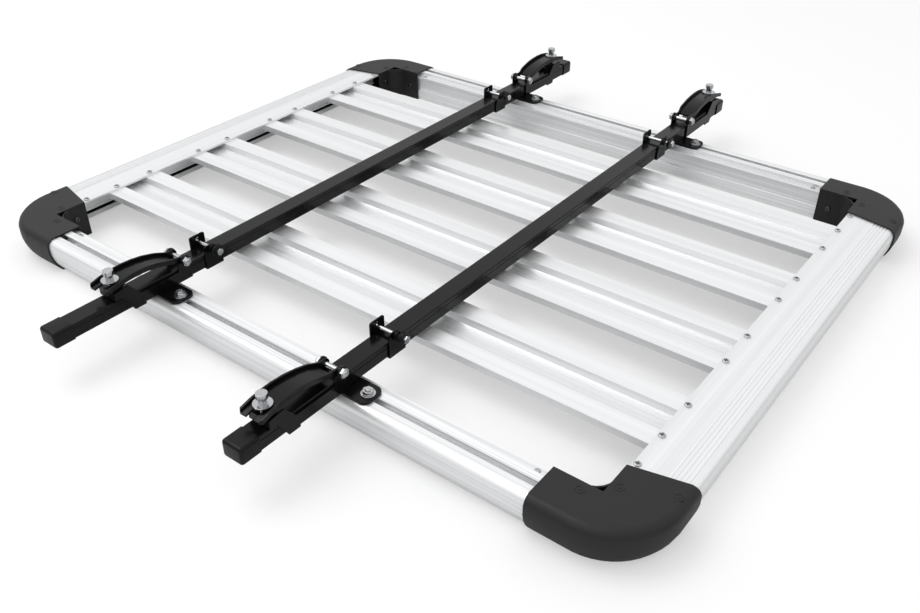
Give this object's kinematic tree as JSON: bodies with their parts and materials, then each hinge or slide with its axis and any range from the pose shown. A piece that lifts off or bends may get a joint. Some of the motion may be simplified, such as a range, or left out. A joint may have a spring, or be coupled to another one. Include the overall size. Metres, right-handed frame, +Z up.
{
  "type": "roof rack",
  "caption": "Shallow aluminium luggage tray lying upside down on its rim, with slats, sliding steel crossbars and hinged clamps that grip a vehicle's roof rails.",
  "frame": {"origin": "on the floor under the middle of the tray, as it lies upside down in the picture", "axes": "+X along the side rails and slats to the right end rail, +Y along the crossbars to the far side, +Z up, towards the clamps; in use the rack is turned over, about X or Y"},
  "size_m": [1.2156, 1.3, 0.1278],
  "materials": {
    "anodised_aluminium": "satin",
    "black_moulded_plastic": "fine grained matt",
    "black_cap_plastic": "semi-gloss",
    "black_powder_coat": "semi-gloss powder coat",
    "zinc_plated_steel": "bright zinc plate"
  },
  "bodies": {
    "rack": {"side_rail_near": "anodised_aluminium", "side_rail_far": "anodised_aluminium", "end_rail_left": "anodised_aluminium", "end_rail_right": "anodised_aluminium", "corner_cap_left_near": "black_moulded_plastic", "corner_cap_left_far": "black_moulded_plastic", "corner_cap_right_near": "black_moulded_plastic", "corner_cap_right_far": "black_moulded_plastic", "slat_1": "anodised_aluminium", "slat_2": "anodised_aluminium", "slat_3": "anodised_aluminium", "slat_4": "anodised_aluminium"},
    "crossbar_left": {"crossbar_left": "black_powder_coat", "bar_cap_left_near": "black_cap_plastic", "rail_plate_left_near": "black_powder_coat", "rail_bolt_left_near": "zinc_plated_steel", "bar_cap_left_far": "black_cap_plastic", "rail_plate_left_far": "black_powder_coat", "rail_bolt_left_far": "zinc_plated_steel"},
    "crossbar_right": {"crossbar_right": "black_powder_coat", "bar_cap_right_near": "black_cap_plastic", "rail_plate_right_near": "black_powder_coat", "rail_bolt_right_near": "zinc_plated_steel", "bar_cap_right_far": "black_cap_plastic", "rail_plate_right_far": "black_powder_coat", "rail_bolt_right_far": "zinc_plated_steel"},
    "jaw_left_near": {"clamp_base_left_near": "black_powder_coat", "pivot_pin_left_near": "zinc_plated_steel"},
    "arm_left_near": {"clamp_arm_left_near": "black_powder_coat", "arm_bolt_left_near": "zinc_plated_steel"},
    "stop_left_near": {"stop_bracket_left_near": "black_powder_coat", "stop_bolt_left_near": "zinc_plated_steel"},
    "jaw_left_far": {"clamp_base_left_far": "black_powder_coat", "pivot_pin_left_far": "zinc_plated_steel"},
    "arm_left_far": {"clamp_arm_left_far": "black_powder_coat", "arm_bolt_left_far": "zinc_plated_steel"},
    "stop_left_far": {"stop_bracket_left_far": "black_powder_coat", "stop_bolt_left_far": "zinc_plated_steel"},
    "jaw_right_near": {"clamp_base_right_near": "black_powder_coat", "pivot_pin_right_near": "zinc_plated_steel"},
    "arm_right_near": {"clamp_arm_right_near": "black_powder_coat", "arm_bolt_right_near": "zinc_plated_steel"},
    "stop_right_near": {"stop_bracket_right_near": "black_powder_coat", "stop_bolt_right_near": "zinc_plated_steel"},
    "jaw_right_far": {"clamp_base_right_far": "black_powder_coat", "pivot_pin_right_far": "zinc_plated_steel"},
    "arm_right_far": {"clamp_arm_right_far": "black_powder_coat", "arm_bolt_right_far": "zinc_plated_steel"},
    "stop_right_far": {"stop_bracket_right_far": "black_powder_coat", "stop_bolt_right_far": "zinc_plated_steel"}
  },
  "joints": [
    {"name": "crossbar_left_slide", "type": "slide", "parent": "rack", "child": "crossbar_left", "axis": [1, 0, 0], "range_m": [-0.2, 0.12]},
    {"name": "crossbar_right_slide", "type": "slide", "parent": "rack", "child": "crossbar_right", "axis": [1, 0, 0], "range_m": [-0.12, 0.2]},
    {"name": "jaw_left_near_slide", "type": "slide", "parent": "crossbar_left", "child": "jaw_left_near", "axis": [0, -1, 0], "range_m": [-0.008, 0.06]},
    {"name": "arm_left_near_hinge", "type": "hinge", "parent": "jaw_left_near", "child": "arm_left_near", "pos_m": [-0.206, -0.429, 0.0938], "axis": [-1, 0, 0], "range_deg": [0, 70]},
    {"name": "stop_left_near_slide", "type": "slide", "parent": "crossbar_left", "child": "stop_left_near", "axis": [0, 1, 0], "range_m": [-0.01, 0.15]},
    {"name": "jaw_left_far_slide", "type": "slide", "parent": "crossbar_left", "child": "jaw_left_far", "axis": [0, 1, 0], "range_m": [-0.055, 0.015]},
    {"name": "arm_left_far_hinge", "type": "hinge", "parent": "jaw_left_far", "child": "arm_left_far", "pos_m": [-0.206, 0.477, 0.0938], "axis": [1, 0, 0], "range_deg": [0, 70]},
    {"name": "stop_left_far_slide", "type": "slide", "parent": "crossbar_left", "child": "stop_left_far", "axis": [0, -1, 0], "range_m": [-0.01, 0.15]},
    {"name": "jaw_right_near_slide", "type": "slide", "parent": "crossbar_right", "child": "jaw_right_near", "axis": [0, -1, 0], "range_m": [-0.06, 0.01]},
    {"name": "arm_right_near_hinge", "type": "hinge", "parent": "jaw_right_near", "child": "arm_right_near", "pos_m": [0.158, -0.482, 0.0938], "axis": [-1, 0, 0], "range_deg": [0, 70]},
    {"name": "stop_right_near_slide", "type": "slide", "parent": "crossbar_right", "child": "stop_right_near", "axis": [0, 1, 0], "range_m": [-0.01, 0.15]},
    {"name": "jaw_right_far_slide", "type": "slide", "parent": "crossbar_right", "child": "jaw_right_far", "axis": [0, 1, 0], "range_m": [-0.07, 0.003]},
    {"name": "arm_right_far_hinge", "type": "hinge", "parent": "jaw_right_far", "child": "arm_right_far", "pos_m": [0.158, 0.49, 0.0938], "axis": [1, 0, 0], "range_deg": [0, 70]},
    {"name": "stop_right_far_slide", "type": "slide", "parent": "crossbar_right", "child": "stop_right_far", "axis": [0, -1, 0], "range_m": [-0.01, 0.15]}
  ]
}
